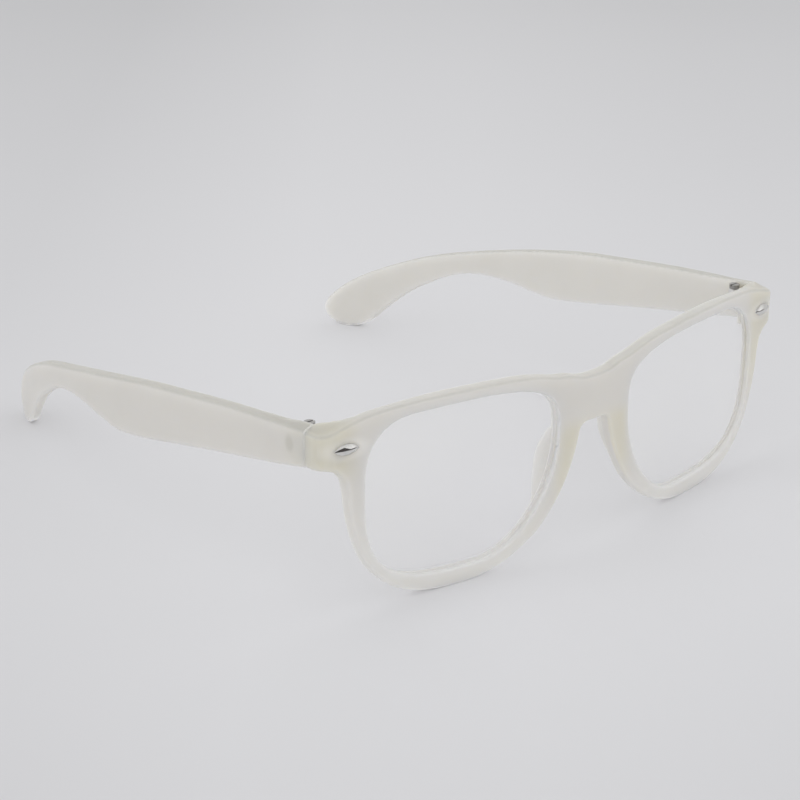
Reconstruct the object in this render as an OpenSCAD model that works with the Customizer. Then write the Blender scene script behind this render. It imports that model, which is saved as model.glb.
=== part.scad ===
// Stereoscopic glasses: a moulded front with flat clear lenses, an optical film behind
// each lens, and two temples that fold on metal barrel hinges.
// Millimetres. The front faces -Y, the temples run along +Y and +Z is up. The glasses
// stand on the two rim bottoms and the two temple tips, at Z = 0, and the origin is in the
// middle of their footprint.
// Every paired piece is drawn for the wearer's left (+X), with the front of the bridge at
// Y = 0, then moved to the shared origin, and mirrored for the right.

/* [Lenses] */
// Width of each lens opening
lens_w = 50.4; // [47:0.2:54]
// Height of each lens opening
lens_h = 38.6; // [36:0.2:41]
// Distance between the two lens openings
bridge_w = 22.6; // [20:0.2:25]
// Thickness of each lens
lens_t = 1.4; // [1.2:0.1:1.6]
// Thickness of the film behind each lens
film_t = 0.2; // [0.1:0.05:0.3]
// Depth of the groove that holds each lens
groove_d = 0.8; // [0.6:0.1:1]

/* [Front] */
// Depth of the rims, front to back
rim_t = 3; // [2.8:0.1:3.6]
// Height of the rim below each lens opening
rim_low = 4.1; // [3.5:0.1:4.8]
// Height of the brow bar above each lens opening
brow_h = 2.9; // [2.5:0.1:3.6]
// Width of the frame outside each lens opening
end_w = 10.8; // [10:0.1:12]
// Depth of each endpiece behind the line of the rims
end_d = 5.6; // [5:0.1:6.4]
// Angle at which each half of the front sweeps back
wrap_a = 8.3; // [6:0.1:10]
// Radius of the front across the bridge
bridge_r = 150; // [120:5:180]
// Depth of the nose fins behind the front of the bridge
fin_d = 8; // [6:0.5:9]
// Angle at which the nose fins spread
fin_a = 21; // [16:1:24]

/* [Temples] */
// Length of each temple from its joint to its tip, along Y
temple_len = 138; // [130:1:145]
// Thickness of each temple
temple_t = 2.9; // [2.8:0.1:3.3]
// Height of each temple at its joint
temple_h = 7.9; // [7.4:0.1:8.4]
// Length of the straight part of each temple
temple_straight = 54; // [45:1:65]
// Radius of the inward bow of each temple
bow_r = 190; // [170:5:240]

/* [Hinges and studs] */
// Radius of the hinge knuckles
knuckle_r = 1.4; // [1.3:0.05:1.4]
// Height of the three knuckles together
knuckle_h = 5.4; // [5:0.2:5.6]
// Radius of the hinge screw
screw_r = 0.6; // [0.5:0.05:0.7]
// Length of each front stud
stud_len = 6.2; // [5:0.2:6.6]
// Height of each front stud
stud_h = 2.7; // [2.2:0.1:3]

/* [Hidden] */
$fn = 64;

plastic = [0.93, 0.92, 0.86];
clear = [0.85, 0.90, 0.94, 0.5];
film = [0.75, 0.82, 0.90, 0.5];
metal = [0.72, 0.72, 0.74];
dark_metal = [0.42, 0.42, 0.45];

// Clearances: around a lens in its groove, across the temple joint, between knuckles,
// around a turning or pressed pin, and around a plate in its pocket
lens_gap = 0.08;
joint_gap = 0.1;
knuckle_gap = 0.06;
pin_gap = 0.03;
pocket_gap = 0.03;
// Length that carries every cutter clear through
far = 200;
// Angle between points on a curved outline, in degrees
arc_step = 6;

// Lens opening: its nasal and temporal sides, its bottom and top, the sideways places
// of its top and bottom, and the height of its widest part
lens_in = bridge_w / 2;
lens_out = lens_in + lens_w;
lens_bot = rim_low;
lens_top = lens_bot + lens_h;
lens_top_x = lens_in + 0.74 * lens_w;
lens_bot_x = lens_in + 0.41 * lens_w;
lens_wide_z = lens_bot + 0.65 * lens_h;
half_w = lens_out + end_w;

// Front outline: the endpiece's top and bottom, the rim's nasal and temporal sides,
// and the underside of the bridge
end_top = lens_top - 0.7;
end_bot = end_top - 7.9;
rim_in = lens_in - 7.4;
rim_out = lens_out + 4.3;
rim_bot_x = lens_in + 0.495 * lens_w;
rim_in_z = 0.85 * lens_top;
rim_out_z = 0.91 * lens_top;
bridge_z = lens_top - 12.6;
bridge_corner = 2.5;
under_corner = 5;
edge_r = 1;

// Plan: the bridge arc runs into straight wings, each wing turns into the side at a
// round corner, and the endpiece's rear face carries the temple joint
wing_x = bridge_r * sin(wrap_a);
wing_y = bridge_r * (1 - cos(wrap_a));
function wing(x) = wing_y + (x - wing_x) * tan(wrap_a);
joint_y = wing(half_w) + end_d;
corner_r = 4.5;
end_in = lens_out + 2.8;
end_fillet = 2;
shoulder_a = 20;
shoulder_z = lens_top + 0.3;
joint_top = lens_top - 0.9;

// Lens plane: square to the wing, halfway through the rim
lens_mid = rim_t / 2 + 0.2;
film_edge = 0.4;

// Hinge: its axis, and the heights of its knuckles and of the screw head
axis_x = half_w - temple_t - 1.7;
axis_y = joint_y + 3.7;
hinge_z = joint_top - 6.2;
knuckle = (knuckle_h - 2 * knuckle_gap) / 3;
head_h = 1.05;
head_r = 1.25;
slot_w = 0.35;
slot_d = 0.4;
plate_t = 0.9;
plate_h = knuckle_h;
front_plate_w = 4.6;
temple_plate_len = 9;
arm_w = 2 * knuckle_r;
prong_r = 0.5;
prong_len = 1.8;
anchor_w = 2.6;
anchor_h = 4;
anchor_y = joint_y + 5.8;
anchor_d = 0.5;
// Depth of the temple leaf's plate below the inside of the temple
leaf_depth = 1;

// Stud: its place on the front, the height of its rim and ridge, and its pin
stud_x = half_w - 6.1;
stud_z = end_bot + 4.4;
stud_base = 0.3;
stud_ridge = 0.9;
stud_pin_r = 0.6;
stud_pin_len = 2.6;

// Temple outline: each point is a share of the temple's length and of the height of
// its joint, from the joint along the top, round the tip and back along the underside
temple_top = [[0, 1.012], [0.06, 0.998], [0.12, 0.983], [0.2, 0.957], [0.3, 0.916], [0.42, 0.863],
              [0.56, 0.773], [0.68, 0.68], [0.78, 0.587], [0.87, 0.467], [0.94, 0.34],
              [0.985, 0.21]];
temple_tip = [[1, 0.115], [0.99, 0.045], [0.97, 0.008], [0.95, 0], [0.928, 0.015]];
temple_low = [[0.905, 0.072], [0.875, 0.175], [0.83, 0.305], [0.78, 0.41], [0.72, 0.505],
              [0.665, 0.546], [0.6, 0.547], [0.545, 0.527], [0.49, 0.513], [0.405, 0.553],
              [0.25, 0.655], [0.08, 0.758]];

function unit(v) = v / norm(v);
function power(v, e) = sign(v) * pow(abs(v), e);

// Points on a squared ellipse about c, from angle a0 to a1; n is its squareness
function lobe(c, a, b, n, a0, a1, step = arc_step) =
    [for (t = [a0 : step * sign(a1 - a0) : a1])
        c + [a * power(cos(t), 2 / n), b * power(sin(t), 2 / n)]];

// Points on a circular arc about c
function arc(c, r, a0, a1, steps = 8) =
    [for (i = [0 : steps]) let (t = a0 + (a1 - a0) * i / steps) c + r * [cos(t), sin(t)]];

// A closed outline moved outwards by d, for points that run anticlockwise
function grown(p, d) =
    [for (i = [0 : len(p) - 1])
        let (v = p[(i + 1) % len(p)] - p[(i + len(p) - 1) % len(p)])
        p[i] + d * unit([v[1], -v[0]])];

// A smooth curve through every point of p, with the given number of steps between points
function smooth(p, steps = 6) =
    [for (i = [0 : len(p) - 2], k = [0 : steps - 1])
        let (t = k / steps,
             a = p[max(i - 1, 0)], b = p[i], c = p[i + 1], d = p[min(i + 2, len(p) - 1)])
        0.5 * (2 * b + (c - a) * t + (2 * a - 5 * b + 4 * c - d) * t * t
               + (3 * b - a - 3 * c + d) * t * t * t)];

function reversed(p) = [for (i = [len(p) - 1 : -1 : 0]) p[i]];
function mirrored(p) = [for (i = [len(p) - 1 : -1 : 0]) [-p[i][0], p[i][1]]];

// The lens opening as seen from the front, anticlockwise from its temporal side
lens_outline = concat(
    lobe([lens_top_x, lens_wide_z], lens_out - lens_top_x, lens_top - lens_wide_z, 2.4,
         0, 84),
    lobe([lens_top_x, lens_wide_z], lens_top_x - lens_in, lens_top - lens_wide_z, 3.8, 90, 174),
    lobe([lens_bot_x, lens_wide_z], lens_bot_x - lens_in, lens_wide_z - lens_bot, 1.87,
         180, 264),
    lobe([lens_bot_x, lens_wide_z], lens_out - lens_bot_x, lens_wide_z - lens_bot, 3.4,
         270, 354));

// Angle on the rim's nasal curve where the round corner under the bridge begins
nose_a = asin((rim_in_z - bridge_z + bridge_corner) / rim_in_z);
nose_x = rim_bot_x - (rim_bot_x - rim_in) * cos(nose_a);
nasal_curve = lobe([rim_bot_x, rim_in_z], rim_bot_x - rim_in, rim_in_z, 2,
                   270, 180 + nose_a, 4);

// The wearer's left half of the front as seen from the front, clockwise from the brow
brow_half = [[0.06 * half_w, lens_top - 0.5 * brow_h],
             [0.11 * half_w, lens_top - 0.14 * brow_h],
             [0.165 * half_w, lens_top + 0.07 * brow_h],
             [0.22 * half_w, lens_top + 0.38 * brow_h],
             [0.28 * half_w, lens_top + 0.64 * brow_h],
             [0.36 * half_w, lens_top + 0.78 * brow_h],
             [0.5 * half_w, lens_top + 0.91 * brow_h],
             [0.69 * half_w, lens_top + 0.97 * brow_h],
             [0.83 * half_w, lens_top + 0.79 * brow_h],
             [0.91 * half_w, lens_top + 0.35 * brow_h],
             [half_w - edge_r, end_top]];
brow_dip = lens_top - 0.6 * brow_h;
brow_line = [for (q = smooth(concat([[-brow_half[0][0], brow_half[0][1]], [0, brow_dip]],
                                    brow_half))) if (q[0] >= 0) q];
half_outline = concat(
    brow_line,
    arc([half_w - edge_r, end_top - edge_r], edge_r, 90, 0),
    arc([half_w - edge_r, end_bot + edge_r], edge_r, 0, -90),
    arc([rim_out + under_corner, end_bot - under_corner], under_corner, 90, 180),
    lobe([rim_bot_x, rim_out_z], rim_out - rim_bot_x, rim_out_z, 2.8, -12, -84),
    nasal_curve,
    arc([nose_x - bridge_corner, bridge_z - bridge_corner], bridge_corner, 0, 90));

// The wearer's left half of the front as seen from above, from the bridge's front round
// the corner and the endpiece to the bridge's rear
rear_r = bridge_r - rim_t;
function rear_wing(x) = wing(x) + rim_t / cos(wrap_a);
half_plan = concat(
    arc([0, bridge_r], bridge_r, -90, -90 + wrap_a, 12),
    arc([half_w - corner_r, wing(half_w - corner_r) + corner_r / cos(wrap_a)], corner_r,
        -90 + wrap_a, 0, 12),
    [[half_w, joint_y], [end_in, joint_y]],
    arc([end_in - end_fillet, rear_wing(end_in - end_fillet) + end_fillet / cos(wrap_a)],
        end_fillet, 0, -90 + wrap_a, 6),
    arc([0, bridge_r], rear_r, -90 + wrap_a, -90, 12));

// A shape drawn in X and Z, carried along Y from y0 to y1
module along_y(y0, y1)
    translate([0, y1, 0]) rotate([90, 0, 0]) linear_extrude(y1 - y0) children();

// A shape drawn in Y and Z, carried along X from x0 to x1
module along_x(x0, x1)
    translate([x0, 0, 0]) rotate([90, 0, 90]) linear_extrude(x1 - x0) children();

// Frame of the wearer's left lens: Y = 0 is the middle of the rim, square to the wing
module at_wing()
    translate([wing_x, wing_y, 0]) rotate([0, 0, wrap_a])
        translate([0, lens_mid, 0]) children();

// The slab between y0 and y1 behind the middle of the rim
module wing_slab(y0, y1)
    at_wing() translate([-far, y0, -far / 4]) cube([2 * far, y1 - y0, far]);

module lens_shape(grow, y0, y1) intersection() {
    wing_slab(y0, y1);
    along_y(-far / 4, far / 4) polygon(grown(lens_outline, grow));
}

module both_sides() {
    children();
    mirror([1, 0, 0]) children();
}

// Nose fin behind the nasal rim: a band along the rim's nasal curve that spreads as it
// runs back, cut to a rounded profile
fin_t = 2.2;
fin_curve = concat([for (q = nasal_curve) if (q[0] < lens_in + 6) q],
                   [[nose_x, bridge_z + 1]]);
fin_band = concat(fin_curve, [for (q = reversed(fin_curve)) q + [fin_t, 0]]);
fin_side = smooth([[1.5, bridge_z + 0.6], [0.6 * fin_d, bridge_z - 0.4],
                   [0.86 * fin_d, bridge_z - 2.4], [fin_d, bridge_z - 6],
                   [fin_d, bridge_z - 9], [0.86 * fin_d, 0.56 * bridge_z],
                   [0.64 * fin_d, 0.43 * bridge_z], [0.44 * fin_d, 0.28 * bridge_z],
                   [1.5, 0.2 * bridge_z]], 5);

module nose_fin() intersection() {
    rotate([0, 0, -fin_a]) along_y(-far / 8, far / 8)
        polygon([for (q = fin_band) [q[0] * cos(fin_a), q[1]]]);
    along_x(0, half_w) polygon(fin_side);
}

// Everything that is cut from one half of the front
module front_cuts() {
    along_y(-far / 4, far / 4) polygon(lens_outline);
    lens_shape(groove_d, -lens_t / 2 - lens_gap / 2, lens_t / 2 + lens_gap / 2);
    // top of the endpiece: it slopes back down to the temple joint
    along_x(0, far) polygon([[joint_y + 1, shoulder_z - tan(shoulder_a)],
                             [joint_y - 9, shoulder_z + 9 * tan(shoulder_a)],
                             [joint_y + 1, shoulder_z + 9 * tan(shoulder_a)]]);
    // below the endpiece the rim keeps its own depth
    translate([0, 0, -1]) linear_extrude(end_bot + 1)
        polygon([[end_in - 8, rear_wing(end_in - 8)], [half_w + 1, rear_wing(half_w + 1)],
                 [half_w + 1, joint_y + 1], [end_in - 8, joint_y + 1]]);
    // pocket of the hinge leaf, and holes for its prongs
    translate([axis_x - front_plate_w / 2 - pocket_gap, joint_y - plate_t - pocket_gap,
               hinge_z - pocket_gap])
        cube([front_plate_w + 2 * pocket_gap, plate_t + 1, plate_h + 2 * pocket_gap]);
    for (z = [1, -1]) translate([axis_x, joint_y - plate_t, hinge_z + plate_h / 2 + z * 1.6])
        rotate([90, 0, 0]) cylinder(r = prong_r + pin_gap, h = prong_len + 0.2);
    // hole for the stud's pin
    at_stud() rotate([-90, 0, 0])
        translate([0, 0, -1]) cylinder(r = stud_pin_r + pin_gap, h = stud_pin_len + 1.2);
}

module front_frame() color(plastic) {
    difference() {
        intersection() {
            along_y(-far / 4, far / 4) polygon(concat(half_outline, mirrored(half_outline)));
            translate([0, 0, -1]) linear_extrude(far)
                polygon(concat(half_plan, mirrored(half_plan)));
        }
        both_sides() front_cuts();
    }
    both_sides() nose_fin();
}

module lens() color(clear) lens_shape(groove_d - lens_gap, -lens_t / 2, lens_t / 2);

module lens_film() color(film) lens_shape(-film_edge, lens_t / 2, lens_t / 2 + film_t);

// Frame of the wearer's left stud: Y = 0 is the surface of the front
module at_stud() translate([stud_x, wing(stud_x), stud_z]) rotate([0, 0, wrap_a]) children();

// A pointed oval with a ridge along its length, on a pin
module stud() color(metal) at_stud() {
    round_r = (stud_len * stud_len + stud_h * stud_h) / (4 * stud_h);
    intersection() {
        along_y(-stud_ridge, 0) intersection_for (s = [1, -1])
            translate([0, s * (round_r - stud_h / 2)]) circle(r = round_r, $fn = 128);
        along_x(-stud_len, stud_len) polygon([[0.1, -stud_h / 2], [-stud_base, -stud_h / 2],
            [-stud_ridge, 0], [-stud_base, stud_h / 2], [0.1, stud_h / 2]]);
    }
    rotate([-90, 0, 0]) translate([0, 0, -0.2]) cylinder(r = stud_pin_r, h = stud_pin_len + 0.2);
}

// Knuckle number i, counted from the bottom, without its bore
module knuckle_block(i)
    translate([axis_x, axis_y, hinge_z + i * (knuckle + knuckle_gap)]) children();

module screw_bore()
    translate([axis_x, axis_y, hinge_z - 1]) cylinder(r = screw_r + pin_gap, h = far / 4);

// Front leaf: a plate let into the endpiece, two prongs and two outer knuckles
module front_leaf() color(metal) difference() {
    union() {
        translate([axis_x - front_plate_w / 2, joint_y - plate_t, hinge_z])
            cube([front_plate_w, plate_t, plate_h]);
        for (z = [1, -1])
            translate([axis_x, joint_y - plate_t + 0.1, hinge_z + plate_h / 2 + z * 1.6])
                rotate([90, 0, 0]) cylinder(r = prong_r, h = prong_len + 0.1);
        for (i = [0, 2]) knuckle_block(i) {
            cylinder(r = knuckle_r, h = knuckle);
            translate([-arm_w / 2, joint_y - axis_y - 0.1, 0])
                cube([arm_w, axis_y - joint_y + 0.1, knuckle]);
        }
    }
    screw_bore();
}

// Temple leaf: a plate and an anchor moulded into the temple, and the middle knuckle on an
// arm that comes out through the inside of the temple
temple_in = half_w - temple_t;
plate_x = temple_in + leaf_depth;
plate_y = joint_y + 1.2;

module anchor(grow, deep) translate([plate_x + plate_t / 2, anchor_y, hinge_z + plate_h / 2])
    along_x(0, plate_t / 2 + deep) for (s = [1, -1])
        translate([0, s * (anchor_h - anchor_w) / 2]) circle(r = anchor_w / 2 + grow);

// Arm from the middle knuckle's axis towards the temple, grown on all sides but its ends
module temple_arm(grow, long)
    translate([0, -knuckle_r + 0.2 - grow, -grow])
        cube([long, 2 * (knuckle_r - 0.2 + grow), knuckle + 2 * grow]);

module temple_leaf() color(metal) difference() {
    union() {
        translate([plate_x, plate_y, hinge_z])
            cube([plate_t, temple_plate_len, plate_h]);
        anchor(0, anchor_d);
        knuckle_block(1) {
            cylinder(r = knuckle_r, h = knuckle);
            temple_arm(0, plate_x - axis_x + 0.1);
        }
    }
    screw_bore();
}

// Screw: shank through all three knuckles and a slotted head on the top one
module screw() color(dark_metal) translate([axis_x, axis_y, hinge_z]) difference() {
    union() {
        cylinder(r = screw_r, h = knuckle_h + 0.1);
        translate([0, 0, knuckle_h]) cylinder(r = head_r, h = head_h);
    }
    translate([-head_r - 1, -slot_w / 2, knuckle_h + head_h - slot_d])
        cube([2 * head_r + 2, slot_w, slot_d + 1]);
}

// Temple: its side outline, carried through a plan that runs straight back from the
// joint and then bows inwards
temple_outline = [for (q = concat(smooth(concat(temple_top, temple_tip, temple_low,
                                                [[0, 1 - temple_h / joint_top]])),
                                  [[0, 1 - temple_h / joint_top]]))
    [joint_y + joint_gap + q[0] * (temple_len - joint_gap), q[1] * joint_top]];

module temple_plan() {
    bow_y = joint_y + temple_straight;
    translate([temple_in, joint_y]) square([temple_t, temple_straight]);
    intersection() {
        translate([half_w - bow_r, bow_y]) difference() {
            circle(r = bow_r, $fn = 720);
            circle(r = bow_r - temple_t, $fn = 720);
        }
        translate([0, bow_y]) square([half_w, temple_len]);
    }
}

module temple() color(plastic) difference() {
    intersection() {
        linear_extrude(far / 2, center = true) temple_plan();
        along_x(0, half_w + 1) polygon(temple_outline);
    }
    translate([plate_x - pocket_gap, plate_y - pocket_gap, hinge_z - pocket_gap])
        cube([plate_t + 2 * pocket_gap, temple_plate_len + 2 * pocket_gap,
              plate_h + 2 * pocket_gap]);
    anchor(pocket_gap, anchor_d + pocket_gap);
    knuckle_block(1) temple_arm(pocket_gap, plate_x - axis_x);
}

// Pieces of the wearer's left, and of the wearer's right, about the shared origin
mid_y = (joint_y + temple_len) / 2;
module on_left() translate([0, -mid_y, 0]) children();
module on_right() mirror([1, 0, 0]) on_left() children();

on_left() front_frame();
on_left() lens();  // left_lens
on_left() lens_film();  // left_film
on_left() stud();  // left_stud
on_left() front_leaf();  // left_front_leaf
on_left() screw();  // left_screw
on_left() temple_leaf();  // left_temple_leaf
on_left() temple();  // left_temple
on_right() lens();  // right_lens
on_right() lens_film();  // right_film
on_right() stud();  // right_stud
on_right() front_leaf();  // right_front_leaf
on_right() screw();  // right_screw
on_right() temple_leaf();  // right_temple_leaf
on_right() temple();  // right_temple
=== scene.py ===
"""Looks of the stereoscopic glasses: moulded translucent shells, clear lenses, metal studs
and hinges, on a pale studio floor. Shapes are built in millimetres about the front of the
bridge, then moved into the shared frame, in metres."""

import math

import bpy
import numpy as np
from mathutils import Matrix, Vector


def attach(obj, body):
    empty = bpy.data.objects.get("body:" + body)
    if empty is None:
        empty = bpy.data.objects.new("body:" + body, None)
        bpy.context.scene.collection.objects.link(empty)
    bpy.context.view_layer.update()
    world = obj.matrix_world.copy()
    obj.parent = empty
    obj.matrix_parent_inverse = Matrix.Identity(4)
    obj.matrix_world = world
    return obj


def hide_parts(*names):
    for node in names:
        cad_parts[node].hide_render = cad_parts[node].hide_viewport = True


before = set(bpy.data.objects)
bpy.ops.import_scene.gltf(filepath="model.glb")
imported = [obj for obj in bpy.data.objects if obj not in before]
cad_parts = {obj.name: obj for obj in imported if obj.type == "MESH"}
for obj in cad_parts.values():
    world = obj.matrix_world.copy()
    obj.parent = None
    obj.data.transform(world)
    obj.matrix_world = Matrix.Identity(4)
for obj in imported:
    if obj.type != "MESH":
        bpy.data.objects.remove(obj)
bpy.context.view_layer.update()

# Driving sizes of the glasses, in millimetres
LENS_W = 50.4
LENS_H = 38.6
BRIDGE_W = 22.6
RIM_T = 3.0
RIM_LOW = 4.1
BROW_H = 2.9
END_W = 10.8
END_D = 5.6
WRAP = math.radians(8.3)
BRIDGE_R = 150.0
FIN_D = 8.0
FIN_A = math.radians(21)
TEMPLE_LEN = 138.0
TEMPLE_T = 2.9
TEMPLE_H = 7.9
TEMPLE_STRAIGHT = 54.0
BOW_R = 190.0
LENS_T = 1.4
FILM_T = 0.2
GROOVE_D = 0.8
STUD_LEN = 6.2
STUD_H = 2.7

# Places that follow from them
LENS_IN = BRIDGE_W / 2
LENS_OUT = LENS_IN + LENS_W
LENS_BOT = RIM_LOW
LENS_TOP = LENS_BOT + LENS_H
LENS_TOP_X = LENS_IN + 0.74 * LENS_W
LENS_BOT_X = LENS_IN + 0.41 * LENS_W
LENS_WIDE_Z = LENS_BOT + 0.65 * LENS_H
HALF_W = LENS_OUT + END_W
END_TOP = LENS_TOP - 0.7
END_BOT = END_TOP - 7.9
RIM_IN = LENS_IN - 7.4
RIM_OUT = LENS_OUT + 4.3
RIM_BOT_X = LENS_IN + 0.495 * LENS_W
RIM_IN_Z = 0.85 * LENS_TOP
RIM_OUT_Z = 0.91 * LENS_TOP
BRIDGE_Z = LENS_TOP - 12.6
BRIDGE_CORNER = 2.5
UNDER_CORNER = 5.0
WING_X = BRIDGE_R * math.sin(WRAP)
WING_Y = BRIDGE_R * (1 - math.cos(WRAP))
CORNER_R = 4.5
END_IN = LENS_OUT + 2.8
SHOULDER = math.radians(20)
SHOULDER_Z = LENS_TOP + 0.3
JOINT_TOP = LENS_TOP - 0.9
JOINT_GAP = 0.1
FIN_T = 2.2


def wing(x):
    """Front of a wing at x."""
    return WING_Y + (x - WING_X) * math.tan(WRAP)


JOINT_Y = wing(HALF_W) + END_D
MID_Y = (JOINT_Y + TEMPLE_LEN) / 2
HINGE_Z = JOINT_TOP - 6.2
AXIS_X = HALF_W - TEMPLE_T - 1.7
TEMPLE_IN = HALF_W - TEMPLE_T
AXIS_Y = JOINT_Y + 3.7
ARM_Z = HINGE_Z + 1.79
ARM_H = 1.82
ARM_HALF = 1.23
BOW_Y = JOINT_Y + TEMPLE_STRAIGHT
LENS_MID = RIM_T / 2 + 0.2
LENS_GAP = 0.08
FILM_EDGE = 0.4
ANCHOR_Y = JOINT_Y + 5.8
ANCHOR_Z = HINGE_Z + 2.7
STUD_X = HALF_W - 6.1
STUD_Z = END_BOT + 4.4
STUD_EDGE = 0.1
STUD_RISE = 0.55
STUD_RIDGE = 0.21
STUD_DOME = 0.33
RIDGE_SOFT = 0.02
TIP_HALF = 0.012

# Pocket of the front leaf in each endpiece, about the hinge's axis and middle
POCKET_HALF_W = 2.33
POCKET_DEPTH = 0.93
POCKET_LOW = 0.03
POCKET_HIGH = 5.43
POCKET_OUT = 9
# Slot of the temple leaf's arm, about the temple's inner face
SLOT_IN = 4
SLOT_DEPTH = 1


# Outlines
def lobe(cx, cz, a, b, n, a0, a1, step=2.0):
    """Points on a squared ellipse about (cx, cz) from angle a0 to a1, in degrees."""
    count = int(round(abs(a1 - a0) / step)) + 1
    t = np.radians(np.linspace(a0, a1, count))
    c, s = np.cos(t), np.sin(t)
    x = cx + a * np.sign(c) * np.abs(c) ** (2 / n)
    z = cz + b * np.sign(s) * np.abs(s) ** (2 / n)
    return np.stack([x, z], 1)


def arc(cx, cz, r, a0, a1, steps=16):
    """Points on a circle about (cx, cz) from angle a0 to a1, in degrees."""
    t = np.radians(np.linspace(a0, a1, steps + 1))
    return np.stack([cx + r * np.cos(t), cz + r * np.sin(t)], 1)


def smooth(points, steps=8):
    """A smooth curve through every point."""
    p = np.array(points, float)
    out = []
    for i in range(len(p) - 1):
        a, b, c, d = p[max(i - 1, 0)], p[i], p[i + 1], p[min(i + 2, len(p) - 1)]
        for k in range(steps):
            t = k / steps
            out.append(0.5 * (2 * b + (c - a) * t + (2 * a - 5 * b + 4 * c - d) * t * t
                              + (3 * b - a - 3 * c + d) * t ** 3))
    out.append(p[-1])
    return np.array(out)


def join(*parts):
    """Lists of points, one after another."""
    return np.concatenate([np.atleast_2d(np.array(p, float)) for p in parts])


def mirrored(p):
    """The other half of an outline, walked on from where this half ends."""
    return p[::-1] * [-1, 1]


def lens_outline():
    """Outline of the left lens opening, seen from the front."""
    x0, z0, zt, zb = LENS_TOP_X, LENS_WIDE_Z, LENS_TOP, LENS_BOT
    return join(lobe(x0, z0, LENS_OUT - x0, zt - z0, 2.4, 0, 88),
                lobe(x0, z0, x0 - LENS_IN, zt - z0, 3.8, 90, 178),
                lobe(LENS_BOT_X, z0, LENS_BOT_X - LENS_IN, z0 - zb, 1.87, 180, 268),
                lobe(LENS_BOT_X, z0, LENS_OUT - LENS_BOT_X, z0 - zb, 3.4, 270, 358))


# Where the rim's nasal edge meets the corner under the bridge
NOSE_A = math.degrees(math.asin((RIM_IN_Z - BRIDGE_Z + BRIDGE_CORNER) / RIM_IN_Z))
NOSE_X = RIM_BOT_X - (RIM_BOT_X - RIM_IN) * math.cos(math.radians(NOSE_A))
NASAL = lobe(RIM_BOT_X, RIM_IN_Z, RIM_BOT_X - RIM_IN, RIM_IN_Z, 2, 270, 180 + NOSE_A)

# The top of the front: shares of half its width, and of the brow's height
BROW = [(0.06, -0.5), (0.11, -0.14), (0.165, 0.07), (0.22, 0.38), (0.28, 0.64),
        (0.36, 0.78), (0.5, 0.91), (0.69, 0.97), (0.83, 0.79), (0.91, 0.35)]


def brow_line():
    """Top of the front, from the middle of the bridge to beyond the endpiece."""
    half = [(x * HALF_W, LENS_TOP + z * BROW_H) for x, z in BROW]
    half.append((HALF_W - 1, END_TOP))
    p = smooth([(-half[0][0], half[0][1]), (0, LENS_TOP - 0.6 * BROW_H)] + half)
    return join(p[p[:, 0] >= 0], [(HALF_W + 6, END_TOP - 0.2)])


def front_outline():
    """Outline of the front, seen from the front."""
    under = arc(RIM_OUT + UNDER_CORNER, END_BOT - UNDER_CORNER, UNDER_CORNER, 90, 180)
    rim = lobe(RIM_BOT_X, RIM_OUT_Z, RIM_OUT - RIM_BOT_X, RIM_OUT_Z, 2.8, -10, -88)
    corner = arc(NOSE_X - BRIDGE_CORNER, BRIDGE_Z - BRIDGE_CORNER, BRIDGE_CORNER, 0, 90)
    half = join(brow_line(), [(HALF_W + 6, END_BOT)], under, rim, NASAL, corner)
    return join(half, mirrored(half))


def front_plan():
    """Everything behind the front surface and inside the two sides, seen from above."""
    xc = HALF_W - CORNER_R
    half = join(arc(0, BRIDGE_R, BRIDGE_R, -90, -90 + math.degrees(WRAP), 40),
                arc(xc, wing(xc) + CORNER_R / math.cos(WRAP), CORNER_R,
                    -90 + math.degrees(WRAP), 0),
                [(HALF_W, 40)])
    return join(half, mirrored(half))


def fin_band():
    """The nasal edge of the left rim, made into a band as thick as a fin."""
    curve = join(NASAL[NASAL[:, 0] < LENS_IN + 6], [(NOSE_X, BRIDGE_Z + 1)])
    band = join(curve, curve[::-1] + [FIN_T, 0])
    return band * [math.cos(FIN_A), 1]


def fin_side():
    """Outline of a nose fin, seen from the side."""
    b = BRIDGE_Z
    return smooth([(1.5, b + 0.6), (0.6 * FIN_D, b - 0.4), (0.86 * FIN_D, b - 2.4),
                   (FIN_D, b - 6), (FIN_D, b - 9), (0.86 * FIN_D, 0.56 * b),
                   (0.64 * FIN_D, 0.43 * b), (0.44 * FIN_D, 0.28 * b), (1.5, 0.2 * b)])


# The temple's outline from its joint: shares of its length and of its height at the joint
TEMPLE_TOP = [(0, 1.012), (0.06, 0.998), (0.12, 0.983), (0.2, 0.957), (0.3, 0.916),
              (0.42, 0.863), (0.56, 0.773), (0.68, 0.68), (0.78, 0.587), (0.87, 0.467),
              (0.94, 0.34), (0.985, 0.21)]
TEMPLE_TIP = [(1, 0.115), (0.99, 0.045), (0.97, 0.008), (0.95, 0), (0.928, 0.015)]
TEMPLE_LOW = [(0.905, 0.072), (0.875, 0.172), (0.83, 0.3), (0.78, 0.404), (0.72, 0.499),
              (0.665, 0.54), (0.6, 0.541), (0.545, 0.521), (0.49, 0.507), (0.405, 0.547),
              (0.25, 0.649), (0.08, 0.754)]


def temple_outline():
    """Outline of a temple, seen from the side."""
    low = 1 - TEMPLE_H / JOINT_TOP
    p = smooth(TEMPLE_TOP + TEMPLE_TIP + TEMPLE_LOW + [(0, low)])
    y = JOINT_Y + JOINT_GAP + p[:, 0] * (TEMPLE_LEN - JOINT_GAP)
    p = np.stack([y, p[:, 1] * JOINT_TOP], 1)
    top = TEMPLE_TOP[0][1] * JOINT_TOP
    return join(p, [(JOINT_Y - 4, low * JOINT_TOP)], [(JOINT_Y - 4, top)])


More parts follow.
